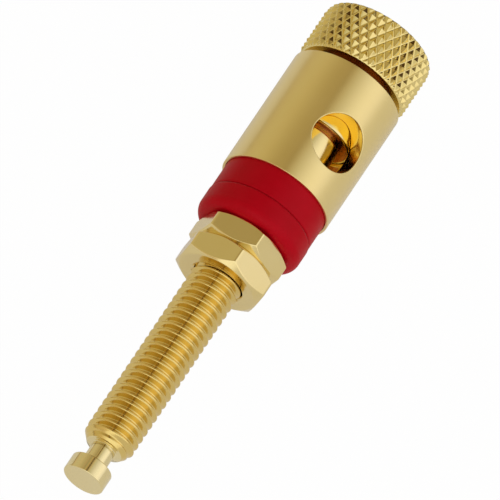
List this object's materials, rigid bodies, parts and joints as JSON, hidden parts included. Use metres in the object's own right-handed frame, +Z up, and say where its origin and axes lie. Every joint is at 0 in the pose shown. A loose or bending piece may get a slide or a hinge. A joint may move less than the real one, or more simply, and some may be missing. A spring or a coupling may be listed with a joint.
{
  "type": "binding post",
  "caption": "Gilt metal binding post with a knurled clamp knob, cross hole, red insulating bushes, M6 stud, jam nuts and solder turret.",
  "frame": {"origin": "on the post's axis, in the plane where the outer bush meets the panel", "axes": "+X along the post's axis towards the knob, +Z up with the post lying on its side"},
  "size_m": [0.0639, 0.0134, 0.0134],
  "materials": {
    "bright_gold": "bright gold plate on turned brass",
    "satin_gold": "smooth pale gold plate on turned brass",
    "red_plastic": "moulded red plastic with a soft shine"
  },
  "bodies": {
    "post": {"contact_stud": "bright_gold", "barrel": "satin_gold", "outer_bush": "red_plastic"},
    "pressure_pin": {"clamp_pin": "bright_gold"},
    "knob": {"clamp_knob": "satin_gold"},
    "bush": {"inner_bush": "red_plastic"},
    "nuts": {"panel_nut": "bright_gold", "lock_nut": "bright_gold"}
  },
  "joints": [
    {"name": "clamp_lift", "type": "slide", "parent": "post", "child": "pressure_pin", "axis": [1, 0, 0], "range_m": [-0.0009, 0.0055]},
    {"name": "knob_turn", "type": "hinge", "parent": "pressure_pin", "child": "knob", "pos_m": [0.022, 0, 0], "axis": [1, 0, 0], "range_deg": [-324, 1980]},
    {"name": "panel_gap", "type": "slide", "parent": "post", "child": "bush", "axis": [-1, 0, 0], "range_m": [0, 0.008]},
    {"name": "nut_turn", "type": "hinge", "parent": "bush", "child": "nuts", "pos_m": [-0.006, 0, 0], "axis": [-1, 0, 0], "range_deg": [0, 2880]}
  ],
  "couplings": [
    {"joint": "knob_turn", "follows": "clamp_lift", "rad_per_m": 6283.2},
    {"joint": "nut_turn", "follows": "panel_gap", "rad_per_m": 6283.2}
  ]
}
